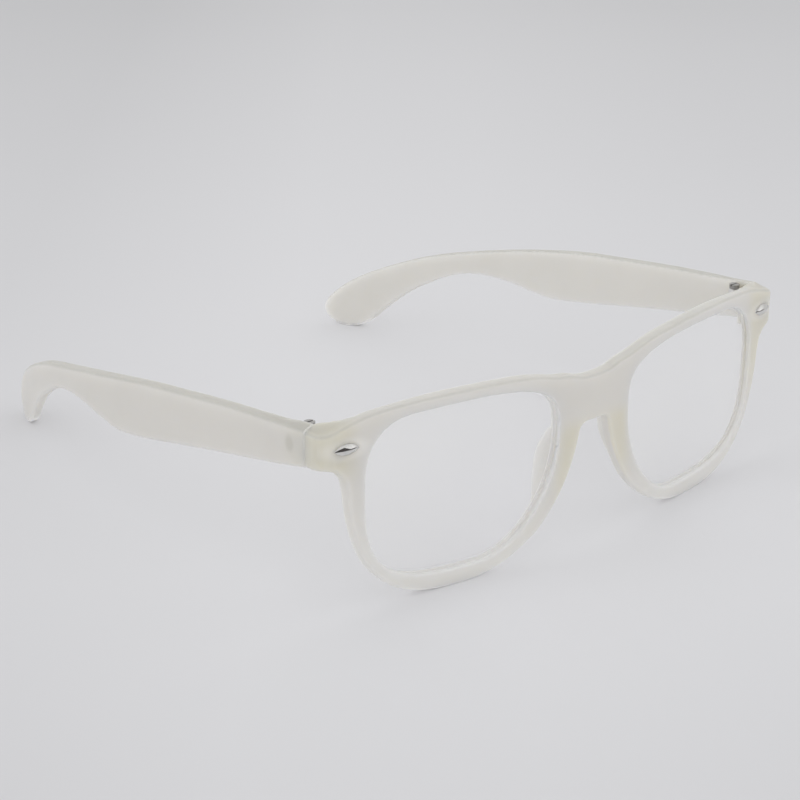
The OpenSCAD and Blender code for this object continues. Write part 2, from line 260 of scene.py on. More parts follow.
# Distance fields
def polygon_distance(poly, u, v):
    """Distance from a closed outline at every point, negative inside."""
    shape = np.broadcast(u, v).shape
    u, v = np.broadcast_to(u, shape), np.broadcast_to(v, shape)
    best = np.full(shape, 1e9)
    inside = np.zeros(shape, bool)
    for (ax, az), (bx, bz) in zip(poly, np.roll(poly, -1, 0)):
        ex, ez = bx - ax, bz - az
        length = ex * ex + ez * ez
        if length < 1e-12:
            continue
        du, dv = u - ax, v - az
        t = np.clip((du * ex + dv * ez) / length, 0, 1)
        best = np.minimum(best, (du - t * ex) ** 2 + (dv - t * ez) ** 2)
        if az != bz:
            crosses = (az > v) != (bz > v)
            inside ^= crosses & (u < ax + dv * ex / ez)
    d = np.sqrt(best)
    return np.where(inside, -d, d)


class Field:
    """An outline's distance, kept on a fine grid and read between its points."""

    def __init__(self, poly, lo, hi, h=0.125):
        self.lo, self.h = lo, h
        n = [int(math.ceil((b - a) / h)) + 1 for a, b in zip(lo, hi)]
        u = lo[0] + h * np.arange(n[0])[:, None]
        v = lo[1] + h * np.arange(n[1])[None, :]
        self.d = polygon_distance(poly, u, v)

    def __call__(self, u, v):
        n0, n1 = self.d.shape
        a = np.clip((u - self.lo[0]) / self.h, 0, n0 - 1.001)
        b = np.clip((v - self.lo[1]) / self.h, 0, n1 - 1.001)
        i, j = a.astype(int), b.astype(int)
        s, t = a - i, b - j
        d = self.d
        return ((d[i, j] * (1 - s) + d[i + 1, j] * s) * (1 - t)
                + (d[i, j + 1] * (1 - s) + d[i + 1, j + 1] * s) * t)


def both(a, b, r):
    """Where a and b are both inside, with a rounded edge of radius r."""
    return (np.minimum(np.maximum(a, b), -r)
            + np.hypot(np.maximum(a + r, 0), np.maximum(b + r, 0)))


def either(a, b, k):
    """Where a or b is inside, with a fillet about k wide."""
    h = np.maximum(k - np.abs(a - b), 0) / k
    return np.minimum(a, b) - h * h * k / 4


def block(x, y, z, lo, hi):
    """Distance from a box."""
    q = [np.maximum(l - p, p - h) for p, l, h in zip((x, y, z), lo, hi)]
    return np.maximum(np.maximum(q[0], q[1]), q[2])


OUTLINE = Field(front_outline(), (-1, -1.5), (HALF_W + 2, 48))
OPENING = Field(lens_outline(), (LENS_IN - 12, -1.5), (HALF_W + 2, 48))
PLAN = Field(front_plan(), (-1, -1.5), (HALF_W + 2, 18))
BAND = Field(fin_band(), (-2, -1), (26, 36))
SIDE = Field(fin_side(), (-1.5, -1), (12, 36))
TEMPLE = Field(temple_outline(), (JOINT_Y - 1.5, -1.5), (JOINT_Y + TEMPLE_LEN + 1.5, 44))

# Radii of the edges, and widths of the fillets
OUTER_R = 0.75
INNER_R = 0.4
CROWN_R = 1.2
OPENING_R = 0.5
POCKET_R = 0.15
SEAM_R = 0.1
FIN_R = 0.8
FIN_FILLET = 1.6
END_FILLET = 3.0
END_UNDER = 0.45
# Where the crown is rounder, across and up the front
CROWN_START = (58, 63)
CROWN_END = (63.5, 66)
CROWN_Z = (38, 40)
# Where the front abuts the temple
ABUT_X = (65, 67)
# Rise of the tops towards the inside, at the joint, and how far from it they rise
CAMBER = 0.95
CAMBER_Z = (36, 41)
CAMBER_AHEAD = 5.0
CAMBER_BEHIND = (0, 4, 7.5, 11, 16)
CAMBER_LEFT = (1, 0.76, 0.32, 0.18, 0)
# Height of the shoulder above its middle, across the endpiece
SHOULDER_X = (61.5, 63.3, 64.6, 66, 67.5, 69)
SHOULDER_RISE = (0.1, -0.05, -0.5, -0.5, -0.2, 0.12)
# Cells of the two surface nets, their margin around each piece, and how near an edge of
# the groove takes up a vertex
FRONT_CELL = 0.275
TEMPLE_CELL = 0.3
MARGIN = 0.9
LIP_REACH = 0.2
# Edges that turn more than this stay crisp
CRISP_ANGLE = math.radians(75)


def blurred_step(x, lo, hi):
    """0 up to lo, 1 from hi, and a smooth rise between."""
    t = np.clip((x - lo) / (hi - lo), 0, 1)
    return t * t * (3 - 2 * t)


def behind_wing(ax, y):
    """Distance behind the front plane of a wing."""
    return (y - WING_Y) * math.cos(WRAP) - (ax - WING_X) * math.sin(WRAP)


def rear_of_wing(ax, y):
    """Distance behind the rear surface of the rims."""
    across = (ax - WING_X) * math.cos(WRAP) + (y - WING_Y) * math.sin(WRAP)
    curved = BRIDGE_R - RIM_T - np.hypot(ax, y - BRIDGE_R)
    return np.where(across > 0, behind_wing(ax, y) - RIM_T, curved)


def camber(ax, y, z):
    """How far the tops of the endpieces and temples rise towards the joint's inside."""
    across = blurred_step(HALF_W - ax, 0, TEMPLE_T)
    near = np.where(y > JOINT_Y, np.interp(y - JOINT_Y, CAMBER_BEHIND, CAMBER_LEFT),
                    1 - blurred_step(JOINT_Y - y, 0, CAMBER_AHEAD))
    return CAMBER * across * near * blurred_step(z, *CAMBER_Z)


def fin_distance(ax, y, z):
    """Distance from a nose fin, which splays outwards to the rear."""
    across = ax * math.cos(FIN_A) - y * math.sin(FIN_A)
    return both(BAND(across, z), SIDE(y, z), FIN_R)


def front_distance(x, y, z):
    """Distance from the moulded front."""
    ax = np.abs(x)
    end = both(END_IN - ax, END_BOT - END_UNDER - z, INNER_R)
    rear = either(rear_of_wing(ax, y), end, END_FILLET)
    rear = both(rear, y - JOINT_Y, SEAM_R)
    level = z - camber(ax, y, z)
    crown = blurred_step(ax, *CROWN_START) * (1 - blurred_step(ax, *CROWN_END))
    crown = INNER_R + (CROWN_R - INNER_R) * crown * blurred_step(level, *CROWN_Z)
    abutting = blurred_step(ax, *ABUT_X)
    crown = crown + (SEAM_R - crown) * abutting
    d = both(both(OUTLINE(ax, level), PLAN(ax, y), OUTER_R), rear, crown)
    shoulder = SHOULDER_Z + np.interp(ax, SHOULDER_X, SHOULDER_RISE)
    slope = (z - shoulder) * math.cos(SHOULDER) + (y - JOINT_Y) * math.sin(SHOULDER)
    d = both(d, slope, INNER_R + (SEAM_R - INNER_R) * abutting)
    from_lens = OPENING(ax, z)
    d = both(d, -from_lens, OPENING_R)
    groove = np.maximum(from_lens - GROOVE_D,
                        np.abs(behind_wing(ax, y) - LENS_MID) - (LENS_T + LENS_GAP) / 2)
    d = np.maximum(d, -groove)
    d = either(d, fin_distance(ax, y, z), FIN_FILLET)
    pocket = block(ax, y, z,
                   (AXIS_X - POCKET_HALF_W, JOINT_Y - POCKET_DEPTH, HINGE_Z - POCKET_LOW),
                   (AXIS_X + POCKET_HALF_W, JOINT_Y + POCKET_OUT, HINGE_Z + POCKET_HIGH))
    return both(d, -pocket, POCKET_R)


def temple_distance(x, y, z):
    """Distance from the left temple, straight at first and then bowed inwards."""
    bowed = np.hypot(x - HALF_W + BOW_R, y - BOW_Y) - BOW_R
    outside = np.where(y > BOW_Y, bowed, x - HALF_W)
    outer = both(TEMPLE(y, z - camber(x, y, z)), outside, OUTER_R)
    d = both(outer, -outside - TEMPLE_T, INNER_R)
    d = both(d, JOINT_Y + JOINT_GAP - y, SEAM_R)
    slot = block(x, y, z, (TEMPLE_IN - SLOT_IN, AXIS_Y - ARM_HALF, ARM_Z),
                 (TEMPLE_IN + SLOT_DEPTH, AXIS_Y + ARM_HALF, ARM_Z + ARM_H))
    return both(d, -slot, POCKET_R)


# Meshes from distance fields
def surface_net(distance, lo, hi, h):
    """Vertices and quads where the distance is zero, one vertex in each cell that the
    surface crosses."""
    n = [int(math.ceil((b - a) / h)) + 1 for a, b in zip(lo, hi)]
    axes = [lo[i] + h * np.arange(n[i]) for i in range(3)]
    d = distance(axes[0][:, None, None], axes[1][None, :, None], axes[2][None, None, :])
    inside = d < 0
    cells = [m - 1 for m in n]
    total = np.zeros(cells + [3], np.float32)
    count = np.zeros(cells, np.float32)
    crossings = []
    for axis in range(3):
        first = [slice(None)] * 3
        second = [slice(None)] * 3
        first[axis], second[axis] = slice(0, -1), slice(1, None)
        a, b = inside[tuple(first)], inside[tuple(second)]
        where = np.argwhere(a != b)
        da = d[tuple(first)][tuple(where.T)]
        db = d[tuple(second)][tuple(where.T)]
        point = where.astype(float)
        point[:, axis] += da / (da - db)
        up = a[tuple(where.T)]
        crossings.append((where, up))
        others = [i for i in range(3) if i != axis]
        for s in (0, -1):
            for t in (0, -1):
                cell = where.copy()
                cell[:, others[0]] += s
                cell[:, others[1]] += t
                ok = np.all((cell >= 0) & (cell < cells), 1)
                key = tuple(cell[ok].T)
                np.add.at(total, key, point[ok].astype(np.float32))
                np.add.at(count, key, 1)
    used = count > 0
    index = np.full(cells, -1)
    index[used] = np.arange(used.sum())
    vertices = total[used] / count[used][:, None] * h + np.array(lo)
    quads = []
    for axis, (where, up) in enumerate(crossings):
        u, v = (axis + 1) % 3, (axis + 2) % 3
        ring = []
        for s, t in ((-1, -1), (0, -1), (0, 0), (-1, 0)):
            cell = where.copy()
            cell[:, u] += s
            cell[:, v] += t
            ring.append(index[tuple(cell.T)])
        q = np.stack(ring, 1)
        quads.append(np.where(up[:, None], q, q[:, ::-1]))
    return vertices.astype(float), np.concatenate(quads)


def slope_of(distance, p, e=0.04):
    """Value and gradient of a distance at each point."""
    g = np.zeros_like(p)
    value = np.zeros(len(p))
    for s in ((1, 1, 1), (1, -1, -1), (-1, 1, -1), (-1, -1, 1)):
        q = p + e * np.array(s)
        f = distance(q[:, 0], q[:, 1], q[:, 2])
        value += f / 4
        g += f[:, None] * s / (4 * e)
    return value, g


def neighbour_blend(quads, count):
    """A function that takes each vertex's value halfway to the mean of its neighbours."""
    edges = np.concatenate([quads[:, [i, (i + 1) % 4]] for i in range(4)])
    a, b = edges[:, 0], edges[:, 1]
    degree = np.bincount(a, minlength=count) + np.bincount(b, minlength=count)

    def blended(values):
        near = (np.bincount(a, values[b], count) + np.bincount(b, values[a], count)) / degree
        return values + 0.5 * (near - values)

    return blended


def settled(distance, p, quads, rounds=6):
    """Spreads the vertices evenly and seats them on the surface."""
    blended = neighbour_blend(quads, len(p))
    for i in range(rounds + 2):
        if i < rounds:
            p = np.stack([blended(p[:, k]) for k in range(3)], 1)
        value, g = slope_of(distance, p)
        size = np.maximum((g * g).sum(1), 0.2)
        p = p - np.clip(value / size, -0.3, 0.3)[:, None] * g
    return p


def eased(values, quads, rounds=2):
    """The values, each blended with those of its neighbours."""
    blended = neighbour_blend(quads, len(values))
    for _ in range(rounds):
        values = blended(values)
    return values


def lips(p):
    """Moves the vertices beside the lens grooves' edges on to those edges."""
    side = np.where(p[:, 0] < 0, -1, 1)
    ax, y, z = np.abs(p[:, 0]), p[:, 1], p[:, 2]
    away = OPENING(ax, z)
    half = (LENS_T + LENS_GAP) / 2
    depth = behind_wing(ax, y) - LENS_MID
    for edge in (0, GROOVE_D):
        near = np.maximum(np.abs(away - edge), np.abs(np.abs(depth) - half)) < LIP_REACH
        gx = (OPENING(ax + 0.1, z) - OPENING(ax - 0.1, z)) / 0.2
        gz = (OPENING(ax, z + 0.1) - OPENING(ax, z - 0.1)) / 0.2
        ax = np.where(near, ax - (away - edge) * gx, ax)
        z = np.where(near, z - (away - edge) * gz, z)
        target = LENS_MID + np.sign(depth) * half
        on_edge = WING_Y + (target + (ax - WING_X) * math.sin(WRAP)) / math.cos(WRAP)
        y = np.where(near, on_edge, y)
    return np.stack([ax * side, y, z], 1)


def facing(distance, p):
    """Outward direction at each point."""
    g = slope_of(distance, p)[1]
    return g / np.linalg.norm(g, axis=1)[:, None]


def mesh_object(name, p, faces, material, zones=None, mirror=False):
    """A smooth mesh from points in millimetres about the front of the bridge, with crisp
    square edges."""
    faces = [list(face)[::-1] if mirror else list(face) for face in faces]
    p = (p * [-1 if mirror else 1, 1, 1] - np.array([0, MID_Y, 0])) / 1000
    mesh = bpy.data.meshes.new(name)
    mesh.from_pydata(p.tolist(), [], faces)
    for key, values in (zones or {}).items():
        layer = mesh.attributes.new(key, "FLOAT", "POINT")
        layer.data.foreach_set("value", np.asarray(values, np.float32))
    mesh.polygons.foreach_set("use_smooth", [True] * len(mesh.polygons))
    mesh.materials.append(material)
    mesh.update()
    mesh.set_sharp_from_angle(angle=CRISP_ANGLE)
    obj = bpy.data.objects.new(name, mesh)
    bpy.context.scene.collection.objects.link(obj)
    return obj


# Materials
def new_material(name):
    """A material with an empty node tree."""
    m = bpy.data.materials.new(name)
    m.use_nodes = True
    m.node_tree.nodes.clear()
    return m, m.node_tree


def add(tree, kind, inputs=(), **settings):
    """A node with its settings, input values and links."""
    node = tree.nodes.new(kind)
    for key, value in settings.items():
        setattr(node, key, value)
    for key, value in dict(inputs).items():
        if isinstance(value, bpy.types.NodeSocket):
            tree.links.new(value, node.inputs[key])
        else:
            node.inputs[key].default_value = value
    return node


def ramp(tree, value, stops):
    """A colour that runs through the stops as the value rises."""
    node = add(tree, "ShaderNodeValToRGB", {"Fac": value})
    e = node.color_ramp.elements
    while len(e) < len(stops):
        e.new(0.5)
    for item, (at, colour) in zip(e, stops):
        item.position = at
        item.color = tuple(colour) + (1,)
    return node.outputs["Color"]


def grey(v):
    """A grey as a colour."""
    return (v, v, v)


def calculated(tree, operation, a, b):
    """A value worked out from two values or sockets."""
    return add(tree, "ShaderNodeMath", {0: a, 1: b}, operation=operation).outputs[0]


def texture(tree, scale, detail):
    """Soft noise over the piece."""
    place = add(tree, "ShaderNodeTexCoord").outputs["Object"]
    noise = add(tree, "ShaderNodeTexNoise", {"Vector": place, "Scale": scale,
                                             "Detail": detail})
    return noise.outputs["Fac"]


def span(tree, value, to_min=0.0, to_max=1.0, start=0.0, end=1.0):
    """A value that runs from start to end, moved to another range."""
    node = add(tree, "ShaderNodeMapRange", {"Value": value, "From Min": start,
                                            "From Max": end, "To Min": to_min,
                                            "To Max": to_max})
    return node.outputs["Result"]


def bumps(tree, height, strength):
    """A normal with fine unevenness."""
    node = add(tree, "ShaderNodeBump", {"Height": height, "Strength": strength,
                                        "Distance": 0.00005})
    return node.outputs["Normal"]


def surfaced(tree, shader):
    """Makes the shader the material's surface."""
    add(tree, "ShaderNodeOutputMaterial", {"Surface": shader.outputs[0]})


def mixed(tree, amount, a, b, mode="MIX"):
    """Two colours mixed, each a colour or a socket."""
    node = tree.nodes.new("ShaderNodeMix")
    node.data_type = "RGBA"
    node.blend_type = mode
    for key, value in ((0, amount), (6, a), (7, b)):
        if isinstance(value, bpy.types.NodeSocket):
            tree.links.new(value, node.inputs[key])
        elif key == 0:
            node.inputs[0].default_value = value
        else:
            node.inputs[key].default_value = tuple(value) + (1,)
    return node.outputs[2]


def unshaded(tree, shader, clearness):
    """The shader, with part of the light that it would stop let through to what lies
    behind it, as a milky or clear body does."""
    shadow = add(tree, "ShaderNodeLightPath").outputs["Is Shadow Ray"]
    through = add(tree, "ShaderNodeBsdfTransparent")
    mix = add(tree, "ShaderNodeMixShader",
              {0: calculated(tree, "MULTIPLY", shadow, clearness)})
    tree.links.new(shader.outputs[0], mix.inputs[1])
    tree.links.new(through.outputs[0], mix.inputs[2])
    return mix


# Tones of the plastic: its faces, and what takes over in each painted zone. The two lightest
# tones are painted light that lifts shaded places, and the darkest is painted shade on
# surfaces that face up; the warm tint and the inlay, where embedded metal shows through, are
# the plastic's own colour
FACE = (0.69, 0.678, 0.655)
TONES = {"pale": (0.725, 0.715, 0.69), "warm": (0.69, 0.668, 0.585),
         "painted_shade": (0.44, 0.435, 0.405), "inlay": (0.50, 0.49, 0.44),
         "deep": (0.93, 0.915, 0.885)}


def moulded_plastic():
    """Milky ivory plastic, toned by the painted zones, among them painted light and painted
    shade.
    """
    m, t = new_material("frosted_plastic")
    cloud = texture(t, 60, 3)
    grain = texture(t, 2600, 2)
    body = FACE
    for zone, tone in TONES.items():
        share = add(t, "ShaderNodeAttribute", attribute_name=zone).outputs["Fac"]
        body = mixed(t, share, body, tone)
    clouding = ramp(t, cloud, [(0.3, grey(0.98)), (0.7, grey(1.015))])
    shader = add(t, "ShaderNodeBsdfPrincipled", {
        "Base Color": mixed(t, 1.0, body, clouding, "MULTIPLY"),
        "Roughness": span(t, grain, 0.36, 0.5), "Normal": bumps(t, grain, 0.12),
        "IOR": 1.5, "Subsurface Weight": 1.0, "Subsurface Scale": 0.005,
        "Subsurface Radius": (1.0, 0.96, 0.86)})
    surfaced(t, unshaded(t, shader, 0.95))
    return m


def metal(name, colour, rough, scale, strength):
    """Metal with a grain of the given scale and strength."""
    m, t = new_material(name)
    noise = texture(t, scale, 4)
    shader = add(t, "ShaderNodeBsdfPrincipled", {
        "Base Color": ramp(t, noise, [(0.3, [0.86 * c for c in colour]), (0.7, colour)]),
        "Roughness": span(t, noise, 0.7 * rough, 1.3 * rough),
        "Metallic": 1.0, "Normal": bumps(t, noise, strength)})
    surfaced(t, shader)
    return m


def clear_lens():
    """Clear plastic that bends light little, with a faint reflecting coat."""
    m, t = new_material("clear_lens")
    noise = texture(t, 25, 2)
    tone = ramp(t, noise, [(0.3, (0.975, 0.975, 0.98)), (0.7, (0.985, 0.985, 0.98))])
    shader = add(t, "ShaderNodeBsdfPrincipled", {
        "Base Color": tone, "Roughness": span(t, noise, 0.0, 0.02), "IOR": 1.1,
        "Transmission Weight": 1.0, "Coat Weight": 0.25, "Coat Roughness": 0.03,
        "Coat IOR": 1.49})
    surfaced(t, unshaded(t, shader, 1.0))
    return m


def film_sheet():
    """Thin film, almost clear."""
    m, t = new_material("optical_film")
    noise = texture(t, 40, 2)
    shader = add(t, "ShaderNodeBsdfPrincipled", {
        "Base Color": ramp(t, noise, [(0.3, (0.90, 0.90, 0.91)), (0.7, grey(0.94))]),
        "Roughness": 0.15, "IOR": 1.1, "Alpha": span(t, noise, 0.09, 0.12)})
    surfaced(t, unshaded(t, shader, 1.0))
    return m


PLASTIC = moulded_plastic()
POLISHED = metal("polished_metal", (0.80, 0.79, 0.77), 0.10, 900, 0.05)
HINGE = metal("hinge_metal", (0.85, 0.84, 0.82), 0.5, 1500, 0.1)
SCREW = metal("hinge_screw", (0.38, 0.37, 0.36), 0.3, 1200, 0.1)
LENS = clear_lens()
FILM = film_sheet()


# Reach of the painted zones. Each pair is where a zone starts and where it is full, or
# where it is still full and where it ends.
# The pale tone: painted light on the lower rims, lifting their shade
PALE_END_Z = (28, 37)
PALE_X = (LENS_IN, LENS_IN + 14)
PALE_END_X = (54, 62)
NASAL_END_X = (LENS_IN - 3, LENS_IN + 3)
NASAL_END_Z = (28, 33)
LEFT_WARM_X = (58, 64)
LEFT_WARM_Z = (12, 28)
RIGHT_WARM_X = (62, 68)
RIGHT_WARM_Z = (29, 36)
# The lightest tone: painted light in the lens grooves, around the studs and on undersides at
# the floor, lifting the shade there
GROOVE_DIM_X = (LENS_IN + 20, LENS_IN + 30)
GROOVE_Z = (8, 14)
HALO_END = (0.95, 2.0)
HALO_WIDER = 0.3
NEAR_FLOOR_Z = (1.5, 4)
TEMPLE_WARM_END = (JOINT_Y, JOINT_Y + 9)
# The darker tone, painted shade, against how far a surface faces up, on the front and on the
# temples
UPWARD = (0.12, 0.45, 0.72, 0.93)
FRONT_TOP_SHADE = (0, 0.62, 0.62, 0.36)
TEMPLE_TOP_SHADE = (0, 0.86, 0.86, 0.78)
# Share of an anchor's spot over which it fades out
SPOT_BLUR = 0.6


def fade_out(x, lo, hi):
    """1 up to lo, 0 from hi, and a smooth fall between."""
    return 1 - blurred_step(x, lo, hi)


def inlay_spot(u, v, half_u, half_v):
    """1 inside an upright oval, fading out over its edge."""
    return fade_out(np.hypot(u / half_u, v / half_v), 1 - SPOT_BLUR, 1)


def over_floor(z, out):
    """1 on undersides at the floor, where little light comes."""
    return fade_out(z, *NEAR_FLOOR_Z) * blurred_step(-out[:, 2], 0, 0.6)


def front_zones(p, quads):
    """Shares of the tones at each vertex of the front."""
    ax, y, z = np.abs(p[:, 0]), p[:, 1], p[:, 2]
    out = facing(front_distance, p)
    away, depth = OPENING(ax, z), behind_wing(ax, y)
    forward = out[:, 1] < -0.4
    fin = (fin_distance(ax, y, z) < 0.3) & (depth > RIM_T + 0.4)
    abutting = (np.abs(y - JOINT_Y) < 0.15) & (out[:, 1] > 0.7)
    by_lens = (away > -0.35) & (away < 1.1)

    # Painted light: the lower rims and the fins take the pale tone, lifting the shade on them
    pale = fade_out(z, *PALE_END_Z) * blurred_step(ax, *PALE_X) * fade_out(ax, *PALE_END_X)
    pale = np.where(fin, 1, 0.9 * pale)

    nasal = fade_out(ax, *NASAL_END_X) * fade_out(z, *NASAL_END_Z)
    nasal *= ~fin & (out[:, 1] < -0.3)
    left_corner = blurred_step(ax, *LEFT_WARM_X) * blurred_step(z, *LEFT_WARM_Z)
    right_corner = blurred_step(ax, *RIGHT_WARM_X) * blurred_step(z, *RIGHT_WARM_Z)
    corner = np.where(p[:, 0] > 0, 0.85 * left_corner, right_corner)
    warm = np.clip(corner + 0.9 * nasal, 0, 1)

    # Painted shade: surfaces that face up, and the fins' rear faces, take a darker tone
    painted_shade = eased(np.interp(out[:, 2], UPWARD, FRONT_TOP_SHADE), quads)
    painted_shade *= ~(by_lens & (depth < RIM_T + 0.2)) & ~abutting
    painted_shade = np.where(fin, 0.4 * blurred_step(out[:, 1], 0, 0.8), painted_shade)

    inlay = 0.25 * forward * inlay_spot(ax - HALF_W + 4.2, z - ANCHOR_Z, 2.8, 3.6)

    # Painted light: the lightest tone lifts the shade in the lens grooves, around the studs,
    # on undersides at the floor, at the joint and on the fins
    groove = 0.85 - 0.55 * blurred_step(ax, *GROOVE_DIM_X)
    groove *= 1 - 0.65 * fade_out(z, *GROOVE_Z)
    groove *= by_lens & (depth > 0.5) & (depth < RIM_T - 0.1)
    halo = np.hypot((ax - STUD_X) / (STUD_LEN / 2 + HALO_WIDER),
                    (z - STUD_Z) / (STUD_H / 2 + HALO_WIDER))
    halo = 0.4 * forward * fade_out(halo, *HALO_END)
    deep = np.maximum.reduce([groove, halo, over_floor(z, out), 0.4 * abutting, 0.15 * fin])
    return {"pale": pale, "warm": warm, "painted_shade": painted_shade, "inlay": inlay, "deep": deep}


def temple_zones(p, quads):
    """Shares of the tones at each vertex of the left temple."""
    x, y, z = p.T
    out = facing(temple_distance, p)
    abutting = y < JOINT_Y + 0.25
    # Painted shade: surfaces that face up take a darker tone
    painted_shade = eased(np.interp(out[:, 2], UPWARD, TEMPLE_TOP_SHADE), quads) * ~abutting
    spot = inlay_spot(y - ANCHOR_Y + 1, z - ANCHOR_Z + 0.3, 1.8, 2.5)
    # Painted light: the inner faces take the pale tone, and the undersides at the floor and
    # the end at the joint the lightest tone
    return {"pale": 0.8 * blurred_step(-out[:, 0], 0, 0.8),
            "warm": 0.5 * fade_out(y, *TEMPLE_WARM_END),
            "painted_shade": painted_shade, "inlay": 0.4 * spot * (x > HALF_W - 1),
            "deep": np.maximum(over_floor(z, out), 0.4 * abutting)}


# Front
points, faces = surface_net(front_distance, (-HALF_W - MARGIN, -MARGIN, -MARGIN),
                            (HALF_W + MARGIN, JOINT_Y + 0.8, 46.4), FRONT_CELL)
points = lips(settled(front_distance, points, faces))
front = mesh_object("front_shell", points, faces, PLASTIC, front_zones(points, faces))
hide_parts("front_frame")
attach(front, "front")

# Temples
points, faces = surface_net(temple_distance, (HALF_W - 24, JOINT_Y - 0.7, -MARGIN),
                            (HALF_W + MARGIN, JOINT_Y + TEMPLE_LEN + MARGIN, JOINT_TOP + 1.5),
                            TEMPLE_CELL)
points = settled(temple_distance, points, faces)
zones = temple_zones(points, faces)
for side, mirror in (("left", False), ("right", True)):
    temple = mesh_object(side + "_temple_shell", points, faces, PLASTIC, zones, mirror)
    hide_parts(side + "_temple")
    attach(temple, side + "_arm")


# Lenses and films: flat plates with broken edges
LENS_BREAK = 0.12
FILM_BREAK = 0.04
BOND = 0.01


def grown(outline, amount):
    """The outline moved outwards."""
    ahead, after = np.roll(outline, -1, 0), np.roll(outline, 1, 0)
    along = ahead - after
    along /= np.linalg.norm(along, axis=1)[:, None]
    return outline + amount * np.stack([along[:, 1], -along[:, 0]], 1)


def plate(name, outline, ahead, behind, corner, material, mirror):
    """A flat plate in the plane of a wing, between two depths behind the lens's middle."""
    rings = [(ahead, -corner), (ahead + corner, 0), (behind - corner, 0), (behind, -corner)]
    points = []
    for depth, inset in rings:
        ring = grown(outline, inset)
        y = wing(ring[:, 0]) + (LENS_MID + depth) / math.cos(WRAP)
        points.append(np.stack([ring[:, 0], y, ring[:, 1]], 1))
    n = len(outline)
    faces = [tuple(range(n)), tuple(range(4 * n - 1, 3 * n - 1, -1))]
    for r in range(3):
        for i in range(n):
            j = (i + 1) % n
            faces.append((r * n + j, r * n + i, (r + 1) * n + i, (r + 1) * n + j))
    obj = mesh_object(name, np.concatenate(points), faces, material, mirror=mirror)
    for flat in obj.data.polygons[:2]:
        flat.use_smooth = False
    return obj


opening = lens_outline()
for side, mirror in (("left", False), ("right", True)):
    lens = plate(side + "_lens_plate", grown(opening, GROOVE_D - LENS_GAP), -LENS_T / 2,
                 LENS_T / 2, LENS_BREAK, LENS, mirror)
    film = plate(side + "_film_sheet", grown(opening, -FILM_EDGE), LENS_T / 2 + BOND,
                 LENS_T / 2 + FILM_T, FILM_BREAK, FILM, mirror)
    for piece, node, slot in ((lens, "_lens", "clear_lens"), (film, "_film", "optical_film")):
        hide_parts(side + node)
        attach(piece, "front")


# Studs: pointed ovals with a soft ridge, domed towards their tips
def stud(name, mirror):
    """A pointed oval that stands on the front."""
    radius = (STUD_LEN ** 2 + STUD_H ** 2) / (4 * STUD_H)
    across, along = 24, 48
    points, faces = [], []
    for i in range(along + 1):
        s = 2 * i / along - 1
        u = s * STUD_LEN / 2
        half = math.sqrt(radius ** 2 - u * u) - radius + STUD_H / 2
        for k in range(across + 1):
            v = 2 * k / across - 1
            ridge = math.hypot(v, RIDGE_SOFT) - RIDGE_SOFT
            drop = STUD_RIDGE * ridge + STUD_DOME * v * v
            height = STUD_EDGE + half * (STUD_RISE - drop)
            if k in (0, across):
                height = -STUD_EDGE
            points.append((u, -height, v * max(half, TIP_HALF)))
    for i in range(along):
        for k in range(across):
            a = i * (across + 1) + k
            faces.append((a, a + across + 1, a + across + 2, a + 1))
    points = np.array(points)
    turn = math.cos(WRAP), math.sin(WRAP)
    x = STUD_X + points[:, 0] * turn[0] - points[:, 1] * turn[1]
    y = wing(STUD_X) + points[:, 0] * turn[1] + points[:, 1] * turn[0]
    placed = np.stack([x, y, STUD_Z + points[:, 2]], 1)
    return mesh_object(name, placed, faces, POLISHED, mirror=mirror)


for side, mirror in (("left", False), ("right", True)):
    piece = stud(side + "_stud_oval", mirror)
    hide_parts(side + "_stud")
    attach(piece, "front")

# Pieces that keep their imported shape, with their edges broken; these two are in metres
WELD_REACH = 0.000005
BEVEL_W = 0.00008
LOOKS = {"front_leaf": HINGE, "temple_leaf": HINGE, "screw": SCREW}
for name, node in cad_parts.items():
    piece = name.split("_", 1)[1]
    if piece not in LOOKS:
        continue
    node.data.materials.clear()
    node.data.materials.append(LOOKS[piece])
    weld = node.modifiers.new("joined", "WELD")
    weld.merge_threshold = WELD_REACH
    bevel = node.modifiers.new("soft_edges", "BEVEL")
    bevel.width = BEVEL_W
    bevel.segments = 2
    bevel.limit_method = "ANGLE"
    bevel.angle_limit = math.radians(20)


# Floor: pale, with painted shade that darkens it ahead, behind and towards both sides, along
# two directions
FLOOR = 6.0
FADE_BACK = (0.66, 0.75, 0)
FADE_SIDE = (0.741, -0.672, 0)


def painted_floor_shade(tree, along, start, end, stops):
    """Painted shade, a tint that changes along one direction of the floor."""
    place = add(tree, "ShaderNodeTexCoord").outputs["Object"]
    away = add(tree, "ShaderNodeVectorMath", {0: place, 1: Vector(along)},
               operation="DOT_PRODUCT")
    return ramp(tree, span(tree, away.outputs["Value"], start=start, end=end), stops)


def studio_floor():
    """Matt and pale, with painted shade ahead, behind and towards the sides."""
    m, t = new_material("studio_floor")
    tone = ramp(t, texture(t, 3, 2), [(0.3, (0.80, 0.80, 0.82)), (0.7, (0.812, 0.812, 0.832))])
    painted_shade_tint = painted_floor_shade(t, FADE_BACK, -0.3, 0.7,
                      [(0.13, grey(0.93)), (0.22, grey(1.0)), (0.34, grey(1.0)),
                       (0.95, (0.80, 0.80, 0.795))])
    tone = mixed(t, 1.0, tone, painted_shade_tint, "MULTIPLY")
    painted_shade_tint = painted_floor_shade(t, FADE_SIDE, -0.11, 0.13,
                      [(0.0, grey(0.905)), (0.36, grey(1.0)), (0.6, grey(1.0)),
                       (1.0, grey(0.955))])
    tone = mixed(t, 1.0, tone, painted_shade_tint, "MULTIPLY")
    shader = add(t, "ShaderNodeBsdfPrincipled", {"Base Color": tone, "Roughness": 0.9,
                                                 "Specular IOR Level": 0.1})
    surfaced(t, shader)
    return m


